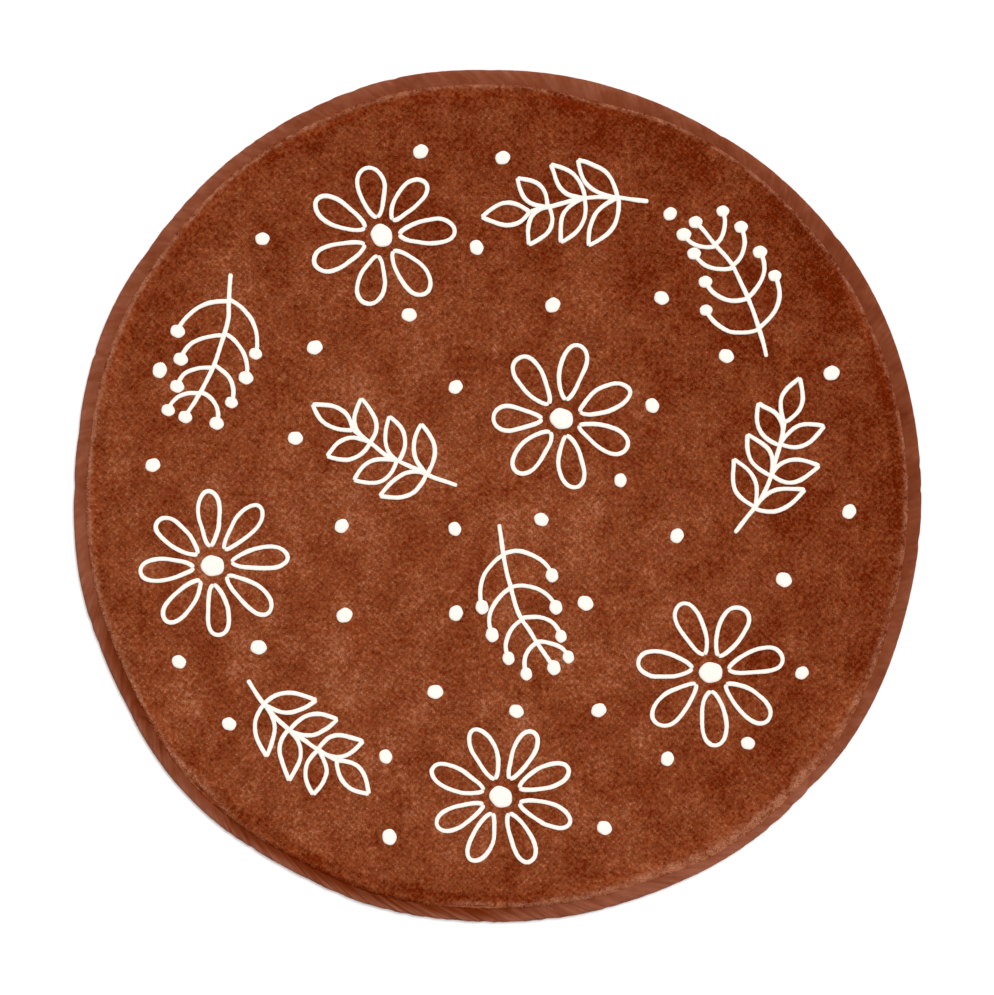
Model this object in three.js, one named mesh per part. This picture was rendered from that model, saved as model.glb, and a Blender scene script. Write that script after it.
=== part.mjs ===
import * as THREE from 'three';

// Round children's rug: a padded velour mat with a strip of bias-cut cloth folded round its edge.
// Millimetres, +Z up. The rug lies flat on the floor, and the origin is on the floor under its middle.
// Angles are in degrees, counter-clockwise from +X, seen from above.

const MEAN_RADIUS = 500;
const PILE_HEIGHT = 10.8;
const PILE_STEPS = 144;
const BINDING_STEPS = 360;
const CREASE_SOFT_SIDE = 1.7;

// How far the outer edge stands out from the mean radius (+) or falls short of it (-), in mm.
const OUTLINE = [
  { angle: 5, reach: -2.5 },
  { angle: 33, reach: 1.3 },
  { angle: 45, reach: 0 },
  { angle: 63, reach: -2.6 },
  { angle: 88, reach: -0.8 },
  { angle: 106, reach: 4.2 },
  { angle: 122, reach: 3.6 },
  { angle: 143, reach: 0.5 },
  { angle: 153, reach: 1.6 },
  { angle: 177, reach: -4.6 },
  { angle: 193, reach: -1.9 },
  { angle: 203, reach: -3.1 },
  { angle: 225, reach: 4.8 },
  { angle: 243, reach: -0.2 },
  { angle: 252, reach: 1 },
  { angle: 266, reach: -1.4 },
  { angle: 288, reach: -0.9 },
  { angle: 308, reach: 2.6 },
  { angle: 316, reach: 1.4 },
  { angle: 324, reach: 3.6 },
  { angle: 350, reach: -2.3 },
];

// Width of the binding from the outer edge to the seam, width of the mat's bare lip between the seam and
// the pile, and how far the gathered cloth puffs up between its creases, in mm.
const SEAM = [
  { angle: 5, width: 17.2, lip: 0, puff: 0 },
  { angle: 30, width: 20, lip: 0, puff: 0 },
  { angle: 62, width: 15.6, lip: 0, puff: 0 },
  { angle: 77, width: 22.5, lip: 0, puff: 0 },
  { angle: 88, width: 18.2, lip: 0, puff: 0 },
  { angle: 107, width: 18.2, lip: 0, puff: 0.2 },
  { angle: 135, width: 16.2, lip: 0, puff: 0.2 },
  { angle: 152, width: 17.8, lip: 0, puff: 0 },
  { angle: 178, width: 15.8, lip: 0, puff: 0 },
  { angle: 205, width: 15.2, lip: 0, puff: 0.7 },
  { angle: 217, width: 14.6, lip: 1, puff: 0.6 },
  { angle: 225, width: 14.3, lip: 7, puff: 0 },
  { angle: 232, width: 14.4, lip: 1, puff: 0.8 },
  { angle: 240, width: 14.6, lip: 0, puff: 1.1 },
  { angle: 262, width: 14.6, lip: 1, puff: 1 },
  { angle: 267, width: 15.4, lip: 3, puff: 0.9 },
  { angle: 275, width: 16.6, lip: 0, puff: 0.7 },
  { angle: 290, width: 16.4, lip: 0, puff: 0.4 },
  { angle: 302, width: 11, lip: 0, puff: 0.5 },
  { angle: 314, width: 11, lip: 0, puff: 0.5 },
  { angle: 335, width: 14.6, lip: 0, puff: 0 },
  { angle: 345, width: 15.8, lip: 0, puff: 0 },
];

// Creases of the binding, a row for each fold: its angle at the seam and at the outer edge, its depth in mm
// beside the seam (inner) and at the edge (outer), and its half width in degrees.
const CREASES = [
  { seam: 3.6, edge: 4.2, inner: 0.2, outer: 0.9, width: 0.8 },
  { seam: 36.6, edge: 37.4, inner: 0.3, outer: 1.1, width: 0.8 },
  { seam: 56.2, edge: 58.2, inner: 0.4, outer: 0.9, width: 0.8 },
  { seam: 101.6, edge: 103.8, inner: 0.5, outer: 1, width: 0.8 },
  { seam: 108.6, edge: 109.6, inner: 0.3, outer: 0.8, width: 0.8 },
  { seam: 112.4, edge: 113.4, inner: 0.3, outer: 0.8, width: 0.8 },
  { seam: 115.6, edge: 116.4, inner: 0.3, outer: 0.8, width: 0.8 },
  { seam: 120.6, edge: 121.6, inner: 0.3, outer: 0.7, width: 0.8 },
  { seam: 125.2, edge: 126.2, inner: 0.3, outer: 0.8, width: 0.8 },
  { seam: 134.4, edge: 135.4, inner: 0.3, outer: 0.7, width: 0.8 },
  { seam: 138.2, edge: 139.2, inner: 0.3, outer: 0.8, width: 0.8 },
  { seam: 144, edge: 145, inner: 0.4, outer: 1.2, width: 0.9 },
  { seam: 160.2, edge: 160.6, inner: 0.3, outer: 1.2, width: 0.8 },
  { seam: 170.4, edge: 171, inner: 0.4, outer: 1, width: 1.3 },
  { seam: 178.2, edge: 178.6, inner: 0.4, outer: 1.2, width: 0.9 },
  { seam: 196.2, edge: 197.2, inner: 0.5, outer: 0.8, width: 0.8 },
  { seam: 201.4, edge: 200.2, inner: 1, outer: 0.9, width: 0.8 },
  { seam: 204.4, edge: 206.8, inner: 1.2, outer: 0.5, width: 0.8 },
  { seam: 209.4, edge: 208.8, inner: 1.8, outer: 1.2, width: 1 },
  { seam: 213.4, edge: 211.4, inner: 1.1, outer: 0.7, width: 0.8 },
  { seam: 216, edge: 218.4, inner: 1.2, outer: 0.5, width: 0.8 },
  { seam: 232.2, edge: 235.2, inner: 1.7, outer: 1.1, width: 0.8 },
  { seam: 236.8, edge: 239.8, inner: 1, outer: 0.6, width: 0.8 },
  { seam: 240, edge: 243.4, inner: 1.5, outer: 0.8, width: 0.8 },
  { seam: 243.8, edge: 248.2, inner: 1.6, outer: 0.9, width: 0.8 },
  { seam: 247, edge: 251.2, inner: 1, outer: 0.6, width: 0.8 },
  { seam: 249.8, edge: 254, inner: 1.6, outer: 0.9, width: 0.8 },
  { seam: 252.8, edge: 257.2, inner: 1.7, outer: 0.9, width: 0.8 },
  { seam: 256.6, edge: 260, inner: 1.2, outer: 0.6, width: 0.8 },
  { seam: 260.6, edge: 264, inner: 0.9, outer: 0.5, width: 0.8 },
  { seam: 264.4, edge: 267.8, inner: 1.5, outer: 0.9, width: 0.8 },
  { seam: 268.6, edge: 271.4, inner: 0.8, outer: 0.5, width: 0.8 },
  { seam: 271.8, edge: 274.4, inner: 1.1, outer: 0.9, width: 0.8 },
  { seam: 275.8, edge: 277, inner: 0.6, outer: 0.9, width: 0.8 },
  { seam: 281.8, edge: 284.2, inner: 0.7, outer: 0.4, width: 0.9 },
  { seam: 289.2, edge: 291.2, inner: 0.7, outer: 0.4, width: 0.9 },
  { seam: 301.8, edge: 302.8, inner: 0.4, outer: 0.9, width: 0.8 },
  { seam: 306, edge: 307, inner: 0.4, outer: 0.8, width: 0.8 },
  { seam: 309.4, edge: 310.2, inner: 0.4, outer: 1, width: 0.8 },
  { seam: 313.2, edge: 314, inner: 0.4, outer: 1, width: 0.8 },
  { seam: 316.6, edge: 317.4, inner: 0.4, outer: 1.2, width: 0.9 },
  { seam: 353, edge: 353.8, inner: 0.4, outer: 1.1, width: 0.8 },
];

// The sections run outwards along the underside and back over the top. across: -1 in the middle of the
// rug, 0 at the seam, 1 at the outer edge. out: mm further out. height: mm over the floor.
// lip: share of the bare lip that a point draws back by.
const MAT_SECTION = [
  { across: -1, out: 0, height: 0, lip: 0 },
  { across: 0, out: -3.4, height: 0, lip: 0 },
  { across: 0, out: -3.4, height: 1.6, lip: 0 },
  { across: 0.7, out: 0, height: 1.6, lip: 0 },
  { across: 1, out: -3.2, height: 2, lip: 0 },
  { across: 1, out: -3.2, height: 2.6, lip: 0 },
  { across: 0.72, out: 0, height: 3, lip: 0 },
  { across: 0, out: -0.5, height: 3.5, lip: 0 },
  { across: 0, out: -0.5, height: 6.5, lip: 0 },
  { across: 0, out: -0.6, height: 7.2, lip: 1 },
  { across: 0, out: -0.9, height: 8.6, lip: 1 },
  { across: 0, out: -2.4, height: 9.6, lip: 1 },
  { across: 0, out: -6, height: 10.2, lip: 1 },
  { across: 0, out: -14, height: 10.6, lip: 1 },
  { across: -0.1, out: 0, height: PILE_HEIGHT, lip: 0 },
  { across: -0.33, out: 0, height: PILE_HEIGHT, lip: 0 },
  { across: -0.66, out: 0, height: PILE_HEIGHT, lip: 0 },
  { across: -1, out: 0, height: PILE_HEIGHT, lip: 0 },
];

// The folded strip: its inner face, then its outer face from under the rug round the edge to the seam.
// rise and spread: how much of the cloth's rise lifts a point, and moves it outwards.
const BINDING_SECTION = [
  { across: 0, out: 0, height: 4.6, rise: 0.2, spread: 0 },
  { across: 0.4, out: 0, height: 5.4, rise: 1, spread: 0.1 },
  { across: 0.76, out: 0, height: 4.5, rise: 0.8, spread: 0.3 },
  { across: 1, out: -1.5, height: 3.3, rise: 0.3, spread: 0.6 },
  { across: 1, out: -1.4, height: 2.2, rise: 0, spread: 0.6 },
  { across: 0.8, out: 0, height: 1.2, rise: 0, spread: 0.2 },
  { across: 0, out: -3, height: 1.2, rise: 0, spread: 0 },
  { across: 0, out: -3, height: 0, rise: 0, spread: 0 },
  { across: 0.86, out: 0, height: 0, rise: 0, spread: 0.2 },
  { across: 0.97, out: 0, height: 1.3, rise: 0, spread: 0.6 },
  { across: 1, out: 0, height: 2.9, rise: 0, spread: 0.7 },
  { across: 0.95, out: 0, height: 4.3, rise: 0.4, spread: 0.55 },
  { across: 0.8, out: 0, height: 5.6, rise: 0.8, spread: 0.3 },
  { across: 0.55, out: 0, height: 6.6, rise: 1, spread: 0.1 },
  { across: 0.25, out: 0, height: 6.7, rise: 0.9, spread: 0 },
  { across: 0, out: 0, height: 5.9, rise: 0.2, spread: 0 },
];

function wrap(degrees) {
  return ((degrees % 360) + 360) % 360;
}

function ease(share) {
  const held = THREE.MathUtils.clamp(share, 0, 1);
  return (1 - Math.cos(Math.PI * held)) / 2;
}

// A table's column at any angle, eased from each row to the next and from the last to the first.
function around(rows, column, angle) {
  const place = wrap(angle);
  let after = rows.findIndex((row) => row.angle > place);
  if (after < 0) {
    after = 0;
  }
  const next = rows[after];
  const last = rows[(after + rows.length - 1) % rows.length];
  const share = wrap(place - last.angle) / wrap(next.angle - last.angle);
  return THREE.MathUtils.lerp(last[column], next[column], ease(share));
}

// A crease sinks steeply on its near side and comes up softly on its far side.
function creaseShape(degreesAway, halfWidth) {
  const reach = degreesAway > 0 ? halfWidth * CREASE_SOFT_SIDE : halfWidth;
  return Math.exp(-((degreesAway / reach) ** 2));
}

function creaseSink(row, angle, across) {
  const share = THREE.MathUtils.clamp(across, 0, 1);
  const middle = THREE.MathUtils.lerp(row.seam, row.edge, share);
  const depth = THREE.MathUtils.lerp(row.inner, row.outer, share);
  const away = wrap(angle - middle + 180) - 180;
  return depth * creaseShape(away, row.width);
}

// How far the binding's cloth rises over its plain section, where it puffs up and where it sinks.
function clothRise(angle, across) {
  const sinks = CREASES.map((row) => creaseSink(row, angle, across));
  return sinks.reduce((rise, sink) => rise - sink, around(SEAM, 'puff', angle));
}

// The place of a section's point at an angle round the rug.
function placePoint(point, angle) {
  const edge = MEAN_RADIUS + around(OUTLINE, 'reach', angle);
  const seam = edge - around(SEAM, 'width', angle);
  const middleToSeam = seam * (1 + Math.min(point.across, 0));
  const seamToEdge = (edge - seam) * Math.max(point.across, 0);
  const lip = (point.lip ?? 0) * around(SEAM, 'lip', angle);
  const rise = clothRise(angle, point.across);
  const radius = middleToSeam + seamToEdge + point.out - lip + rise * (point.spread ?? 0);
  const turn = THREE.MathUtils.degToRad(angle);
  return new THREE.Vector3(
    radius * Math.cos(turn),
    radius * Math.sin(turn),
    point.height + rise * (point.rise ?? 0),
  );
}

// A section turned round the rug's middle, each of its points then moved to its place at that angle.
function roundSolid(section, steps) {
  const profile = section.map((point) => {
    const radius = MEAN_RADIUS * (1 + Math.min(point.across, 0));
    return new THREE.Vector2(radius, point.height);
  });
  const geometry = new THREE.LatheGeometry(profile, steps);
  const position = geometry.getAttribute('position');
  for (let index = 0; index < position.count; index += 1) {
    const column = Math.floor(index / section.length) % steps;
    const place = placePoint(section[index % section.length], (column * 360) / steps);
    position.setXYZ(index, place.x, place.y, place.z);
  }
  geometry.computeVertexNormals();
  return geometry;
}

function makeVelourMat() {
  const material = new THREE.MeshStandardMaterial({ color: 0x823d21, roughness: 0.95, metalness: 0 });
  const mesh = new THREE.Mesh(roundSolid(MAT_SECTION, PILE_STEPS), material);
  mesh.name = 'velour_mat';
  return mesh;
}

function makeEdgeBinding() {
  const material = new THREE.MeshStandardMaterial({ color: 0x844529, roughness: 0.8, metalness: 0 });
  const closedSection = [...BINDING_SECTION, BINDING_SECTION[0]];
  const mesh = new THREE.Mesh(roundSolid(closedSection, BINDING_STEPS), material);
  mesh.name = 'edge_binding';
  return mesh;
}

const rug = new THREE.Group();
rug.add(makeVelourMat(), makeEdgeBinding());

export default rug;
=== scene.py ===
import math

import bpy
import numpy as np
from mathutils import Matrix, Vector


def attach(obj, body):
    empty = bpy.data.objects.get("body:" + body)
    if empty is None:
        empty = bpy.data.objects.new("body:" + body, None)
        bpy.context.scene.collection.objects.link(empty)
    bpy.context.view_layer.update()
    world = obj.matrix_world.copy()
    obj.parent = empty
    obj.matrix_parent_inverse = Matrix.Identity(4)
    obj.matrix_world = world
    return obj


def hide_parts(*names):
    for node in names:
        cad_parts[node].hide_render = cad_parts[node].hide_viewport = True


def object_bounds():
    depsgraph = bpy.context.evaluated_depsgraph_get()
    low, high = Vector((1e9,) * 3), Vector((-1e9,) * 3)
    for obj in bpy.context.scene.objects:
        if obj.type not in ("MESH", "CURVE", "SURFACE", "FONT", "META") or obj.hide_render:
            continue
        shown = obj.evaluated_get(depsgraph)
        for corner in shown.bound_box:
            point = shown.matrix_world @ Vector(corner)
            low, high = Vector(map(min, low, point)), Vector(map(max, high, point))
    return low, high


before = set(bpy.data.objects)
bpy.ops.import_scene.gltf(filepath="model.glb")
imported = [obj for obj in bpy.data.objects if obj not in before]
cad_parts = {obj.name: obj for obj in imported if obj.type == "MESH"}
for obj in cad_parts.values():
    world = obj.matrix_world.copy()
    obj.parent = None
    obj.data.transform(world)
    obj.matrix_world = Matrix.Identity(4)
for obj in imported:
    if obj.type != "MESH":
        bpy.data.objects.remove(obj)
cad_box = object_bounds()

# Round children's rug, lying flat, in metres. The tables and the sections are in millimetres and degrees.
# Angles run counter-clockwise from +X, seen from above.
MM = 0.001
MEAN_RADIUS = 0.5
PILE_TOP = cad_box[1].z
SEED = 41
NOISE_CELLS = 512

# The photograph's view: the rug's middle and mean radius in its frame of 994 by 995 pixels. The height is
# that of the rug's outermost edge.
FRAME_PIXELS = (994, 995)
RUG_MIDDLE_PIXEL = (496.34, 495.59)
RUG_RADIUS_PIXELS = 426.8
CAMERA_HEIGHT = 3.5
SENSOR_MM = 36
EDGE_HEIGHT = 3 * MM

# The key light's direction, its spread in degrees and its strength, the sky's strength, and what multiplies
# both and divides the colours.
KEY_DIRECTION = (0.36, 0.5, 0.79)
KEY_SPREAD = 40
KEY_STRENGTH = 1.88
SKY_STRENGTH = 0.69
STUDIO_LIGHT = 1.08
FLOOR_HALF = 6
FLOOR_DROP = 0.0002


def columns(names, rows):
    """A table of plain rows as named columns."""
    return {name: np.array(values, float) for name, values in zip(names, zip(*rows))}


# How far the outer edge stands out from the mean radius (+) or falls short of it (-).
OUTLINE = columns(("angle", "reach"), [
    (5, -2.5),
    (33, 1.3),
    (45, 0),
    (63, -2.6),
    (88, -0.8),
    (106, 4.2),
    (122, 3.6),
    (143, 0.5),
    (153, 1.6),
    (177, -4.6),
    (193, -1.9),
    (203, -3.1),
    (225, 4.8),
    (243, -0.2),
    (252, 1),
    (266, -1.4),
    (288, -0.9),
    (308, 2.6),
    (316, 1.4),
    (324, 3.6),
    (350, -2.3),
])

# Width of the binding, width of the mat's pressed-down lip inside it, how far the gathered cloth puffs up
# and how far it sinks at the seam, how many degrees further round its folds are at the outer edge than at the
# seam, and how far the pile's edge rolls down.
SEAM = columns(("angle", "width", "lip", "puff", "sink", "slant", "roll"), [
    (5, 17.2, 0, 0, 0, 0.5, 3.3),
    (30, 20, 0, 0, 0, 0.8, 3.3),
    (62, 15.6, 0, 0, 0, 1.5, 3.1),
    (77, 22.5, 0, 0, 0, 1.2, 3.1),
    (88, 18.2, 0, 0, 0, 2, 3.3),
    (107, 18.2, 0, 0.2, 0, 1, 3.5),
    (135, 15.6, 0, 0.2, 0, 0.8, 3.5),
    (152, 17.4, 0, 0, 0, 0.8, 3.1),
    (178, 15.8, 0, 0, 0.05, 0.5, 2.7),
    (205, 16.2, 0, 0.7, 0, 3.4, 2.3),
    (217, 15.2, 1, 0.6, 0, 2.6, 2.1),
    (225, 14.3, 6, 0, 0.1, 2.4, 1.8),
    (232, 14.4, 1, 0.8, 0.1, 2.8, 2.3),
    (240, 14.6, 0, 1.1, 0, 4, 2.6),
    (262, 14.6, 1, 1, 0, 3.9, 2.6),
    (267, 15.4, 3, 0.9, 0.1, 3.2, 1.9),
    (275, 16.6, 0, 0.7, 0.1, 2.4, 2.5),
    (290, 16.4, 0, 0.4, 0, 3, 3.5),
    (302, 11, 0, 0.5, 0, 2.2, 3.7),
    (314, 11, 0, 0.5, 0, 0.8, 3.7),
    (335, 15.6, 0, 0, 0.05, 0.6, 3.5),
    (345, 16.2, 0, 0, 0, 0.6, 3.5),
])

# Along the seam: width and strength of the pale fibres at the pile's edge, partly a painted highlight (below
# 0:
# the pile is darker there, a painted shade), how much lighter the binding is, how much painted shade darkens
# it towards the seam, and how much painted shade darkens the pile some way inside, as in a slight hollow.
SEAM_LOOK = columns(("angle", "fringe", "pale", "binding", "shade", "painted_hollow_shade"), [
    (5, 3.1, 0.97, -13, 0.04, 10),
    (45, 3, 1, -6, 0.04, -1),
    (80, 3.2, 0.95, 1, 0, 7),
    (107, 4, 1.05, 1, 0.1, 8),
    (135, 3.6, 1.21, 5, 0.08, 3),
    (165, 4.2, 1.61, 5, 0.12, 6),
    (190, 4.4, 1.55, 10, 0.3, 5),
    (205, 4.4, 1.28, 12, 0.95, 3),
    (211, 4.2, 1.2, 11, 1, 2),
    (217, 4, 1.1, 11, 0.6, 1),
    (225, 4.4, 1, 10, 0.64, -3),
    (232, 3, 0.4, 12, 0.95, 16),
    (240, 3, -0.5, 14, 1.15, 23),
    (256, 3, -0.6, 16, 1, 20),
    (262, 3, 0.15, 12, 0.9, 24),
    (267, 4, 0.7, 9, 0.9, 25),
    (273, 4.6, 1.31, 9, 0.5, 18),
    (279, 6, 1.53, 10, 0.2, 0),
    (290, 6.4, 1.65, 12, 0.15, 0),
    (300, 8.4, 1.62, 18, 0.15, 8),
    (316, 8.4, 1.62, 15, 0.15, 9),
    (326, 6, 1.1, 2, 0.1, 0),
    (345, 5, 1, -3, 0.05, 0),
])

# Creases of the binding, a row for each fold: its angle at the seam and at the outer edge, its depth beside
# the seam and at the edge, and its half width in degrees.
CREASES = [
    (0.6, 0.8, 0.1, 0.8, 0.35),
    (3.6, 4, 0.2, 0.9, 0.35),
    (36.6, 37.4, 0.3, 1.1, 0.6),
    (47.4, 47.9, 0.1, 0.5, 0.5),
    (56.2, 58.2, 0.4, 0.9, 0.6),
    (72.6, 73.8, 0.4, 0.3, 0.7),
    (88.4, 90.6, 0.4, 0.3, 0.7),
    (101.6, 103.8, 0.5, 1, 0.6),
    (108.6, 109.6, 0.3, 0.8, 0.6),
    (112.2, 113.2, 0.3, 0.7, 0.6),
    (114.9, 115.8, 0.3, 0.9, 0.6),
    (120.5, 121.4, 0.2, 0.6, 0.5),
    (122.3, 123, 0.2, 0.6, 0.5),
    (124, 124.8, 0.2, 0.7, 0.5),
    (125.8, 126.6, 0.3, 0.7, 0.5),
    (134.4, 135.2, 0.3, 0.6, 0.6),
    (137, 137.8, 0.2, 0.6, 0.5),
    (138.9, 139.6, 0.2, 0.7, 0.5),
    (142, 142.8, 0.2, 0.7, 0.6),
    (144, 145, 0.4, 1.2, 0.9),
    (160.2, 160.4, 0.2, 1.3, 0.3),
    (170.4, 171, 0.4, 1, 1.3),
    (178.2, 178.6, 0.4, 1.2, 0.8),
    (196.2, 197.2, 0.4, 0.7, 0.5),
    (199.2, 203.8, 1.1, 0, 0.4),
    (200.2, 200.2, 0, 0.9, 0.5),
    (201.8, 206.2, 1.5, 0.1, 0.4),
    (204.4, 207.8, 1.6, 0.2, 0.4),
    (207, 208.8, 1.1, 0.9, 0.7),
    (209.5, 210.1, 2, 0.5, 0.7),
    (212.5, 210.8, 1.6, 0.6, 0.35),
    (212.7, 214.8, 1.2, 0.1, 0.35),
    (215.9, 218.8, 1.6, 0.3, 0.35),
    (230.6, 231.6, 1.4, 0.3, 0.4),
    (231.1, 233.4, 0.8, 0.4, 0.5),
    (232.2, 235.1, 1.9, 1.2, 0.35),
    (236.5, 240.4, 1.2, 0.5, 0.6),
    (240, 243.9, 1.9, 0.8, 0.45),
    (243.1, 248.1, 1.8, 0.8, 0.4),
    (245.1, 249, 1.4, 0.6, 0.35),
    (248.1, 253, 1.5, 0.6, 0.6),
    (252, 255.2, 1.9, 1, 0.4),
    (254, 257.8, 1.7, 0.8, 0.4),
    (256.7, 260.6, 1.7, 0.5, 0.35),
    (260.2, 264.6, 0.9, 0.3, 0.6),
    (265, 268.3, 1.7, 1.1, 0.4),
    (268.8, 271.8, 0.8, 0.4, 0.7),
    (272.8, 275.1, 1.2, 0.5, 0.5),
    (274.6, 276.8, 0.6, 1, 0.4),
    (282.4, 285.1, 0.9, 0.5, 0.4),
    (285.4, 287.4, 0.5, 0.3, 0.6),
    (291.2, 294.8, 0.6, 0.4, 0.6),
    (293.4, 296.6, 0.5, 0.3, 0.6),
    (296.6, 300.6, 0.7, 0.3, 0.5),
    (300.4, 303, 0.4, 0.4, 0.6),
    (304.4, 305.4, 0.3, 0.6, 0.5),
    (306.4, 307.2, 0.3, 0.6, 0.5),
    (309, 309.8, 0.4, 1, 0.55),
    (313.2, 313.8, 0.4, 1, 0.5),
    (318.4, 316.9, 0.5, 1.2, 0.6),
    (320.2, 322.4, 0.7, 0.2, 0.4),
    (353, 353.8, 0.4, 1.1, 0.5),
]

# How much wider a crease is on its soft side and how much deeper than its row says, the depth at which its
# shade is full, the strength of the shade, and the strength and half width in degrees of the line in it.
CREASE_SOFT_SIDE = 1.8
CREASE_GAIN = 1.35
CREASE_DEEP = 1.5
CREASE_SHADE = 0.62
CREASE_LINE_SHADE = 0.45
CREASE_LINE = 0.2

# Sections run outwards along the underside and back over the top. across: -1 in the middle of the rug,
# 0 at the seam, 1 at the outer edge. out: further out. rise and spread: how much of the cloth's rise lifts
# a point, and moves it outwards. sink: how much of the seam's sink lowers it.
SECTION_COLUMNS = ("across", "out", "height", "rise", "spread", "sink")
BINDING_SECTION = [
    (0, 0, 4.6, 0.1, 0, 1),
    (0.22, 0, 5.1, 0.7, 0, 0.4),
    (0.5, 0, 5.3, 1, 0.1, 0),
    (0.76, 0, 4.7, 0.8, 0.3, 0),
    (1, -1.5, 3.4, 0.3, 0.6, 0),
    (1, -1.4, 2.2, 0, 0.6, 0),
    (0.8, 0, 1.2, 0, 0.2, 0),
    (0, -3, 1.2, 0, 0, 0),
    (0, -3, 0, 0, 0, 0),
    (0.86, 0, 0, 0, 0.2, 0),
    (0.97, 0, 1.3, 0, 0.6, 0),
    (1, 0, 3.1, 0, 0.7, 0),
    (0.96, 0, 4.7, 0.4, 0.55, 0),
    (0.82, 0, 6, 0.8, 0.3, 0),
    (0.58, 0, 6.6, 1, 0.1, 0),
    (0.34, 0, 6.7, 0.95, 0, 0.1),
    (0.12, 0, 6.5, 0.5, 0, 0.7),
    (0.01, 0, 6.4, 0.1, 0, 1),
    (0, 0, 6, 0, 0, 1),
]

# Columns of points round the binding, its usual width, and how far it reaches past the mat's edge.
BINDING_COLUMNS = 2400
BINDING_DEPTH = 15
BINDING_PAST_MAT = 3.2

# Places across the binding, and how much of the seam's shade is seen at each.
SHADE_PLACES = (0, 0.12, 0.25, 0.5, 0.75, 1)
SHADE_DEPTHS = (0.72, 0.76, 0.77, 0.5, 0.13, 0)

# The pile: the level of its tips and the level that its tufts stand on, the turn of its weave from the axes,
# the pitch of its bunches along their diagonal rows, the size of a tuft, and how much of its roll the pile's
# edge has sunk by at shares of the fringe's width.
PILE_TIPS = PILE_TOP - 0.5 * MM
PILE_FOOT = 8.4 * MM
PILE_DEPTH = 1.25 * MM
WEAVE_TURN = 47.8
BUNCH_PITCH = 4.6 * MM
TUFT_SPACING = BUNCH_PITCH / 2
TUFT_WIDTH = 1.5 * MM
TUFT_LEAN = 1.3 * MM
TUFT_ROOT = 0.3 * MM
# The ground's tint, darker than the tufts': painted shade in the gaps between them.
GROUND_TINT = 0.42
WALL_PALENESS = 0.3
RIM_TUFTS = 13000
RIM_TUFT_WIDTH = 0.75 * MM
CLUMP_SIZE = 8 * MM
EDGE_SHARES = np.array([0, 0.3, 0.8, 2, 4.5])
EDGE_ROLLS = np.array([1.1, 0.65, 0.42, 0.2, 0.04])

# How many of the table's steps make one whole step of tone.
BINDING_TONE_STEPS = 60
HOLLOW_TONE_STEPS = 50

# Long threads that lie loose along the seam: from and to which angle, how far inside the seam at each end,
# and how pale. Then their half width, and the number and half width of the short fibres.
LOOSE_THREADS = [
    (218.5, 226.5, 1.2, 0.8, 0.35),
    (219.5, 225, 2.4, 2, 0.3),
    (249.2, 252.4, 5.2, 5.9, 0.1),
    (250.9, 253.6, 1.3, 2.7, 0),
    (261.5, 270.6, 0.6, 3.6, 0.4),
    (263.5, 271, 0.4, 2.4, 0.5),
    (266.5, 271.4, 0.8, 1.8, 0.45),
]
THREAD_HALF_WIDTH = 0.36
SHORT_FIBRES = 240
FIBRE_HALF_WIDTH = 0.24

# The embroidery: the field it lies in, its satin-stitched lines and filled shapes, how fast a line's width
# changes, and the spacing of the dots, their clearance from the lines and their own field.
FIELD_RADIUS = 0.436
LINE_HALF_WIDTH = 2.6 * MM
STITCH_STEP = 1.45 * MM
STITCH_FOOT = 7.9 * MM
STITCH_TOP = 10.3 * MM
NEEDLE_STEP = 12.06 * MM
MOTIF_SCALE = 1.15
WIDTH_WAVE = 12 * MM
DOT_SPACING = 92 * MM
DOT_CLEARANCE = 22 * MM
DOT_FIELD = FIELD_RADIUS - 14 * MM
FIELD_CELL = 1 * MM

# Kind of each motif, its middle, and the way it points in degrees.
MOTIFS = [
    ("daisy", 75, 92, 12),
    ("sprig", -133, 54, 152),
    ("twig", 31, -127, 292),
    ("sprig", 323, 44, 66),
    ("twig", 276, 251, 118),
    ("sprig", 80, 340, 186),
    ("daisy", -135, 304, 40),
    ("twig", -333, 167, 252),
    ("daisy", -331, -80, 5),
    ("sprig", -224, -283, 318),
    ("daisy", 6, -352, 22),
    ("daisy", 251, -207, 0),
]


def stacked(*parts):
    """Numbers or arrays side by side, along a new last axis."""
    return np.stack(np.broadcast_arrays(*parts), -1)


def polar(angle, radius, height):
    """Points at their angle, radius and height."""
    turn = np.radians(angle)
    return stacked(radius * np.cos(turn), radius * np.sin(turn), height)


def ease(share):
    return (1 - np.cos(math.pi * np.clip(share, 0, 1))) / 2


def around(table, column, angle):
    """A table's column at any angle, eased from row to row and from the last row to the first."""
    angles, values = table["angle"], table[column]
    place = np.mod(angle, 360)
    after = np.searchsorted(angles, place, side="right") % len(angles)
    share = np.mod(place - angles[after - 1], 360) / np.mod(angles[after] - angles[after - 1], 360)
    return values[after - 1] + (values[after] - values[after - 1]) * ease(share)


def edge_radius(angle):
    return MEAN_RADIUS + around(OUTLINE, "reach", angle) * MM


def seam_radius(angle):
    return edge_radius(angle) - around(SEAM, "width", angle) * MM


def crease_places(angle, across):
    """For each crease: its depth at a place, how many degrees past it the place is, and its half width."""
    share = np.clip(across, 0, 1)
    for seam, edge, inner, outer, half_width in CREASES:
        middle = seam + (edge - seam) * share
        depth = inner + (outer - inner) * share
        yield depth, np.mod(angle - middle + 180, 360) - 180, half_width


def cloth_rise(angle, across):
    """How far the binding's cloth rises over its plain section, in millimetres."""
    rise = around(SEAM, "puff", angle)
    for depth, away, half_width in crease_places(angle, across):
        width = half_width * np.where(away > 0, CREASE_SOFT_SIDE, 1)
        rise = rise - CREASE_GAIN * depth * np.exp(-((away / width) ** 2))
    return rise


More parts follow.
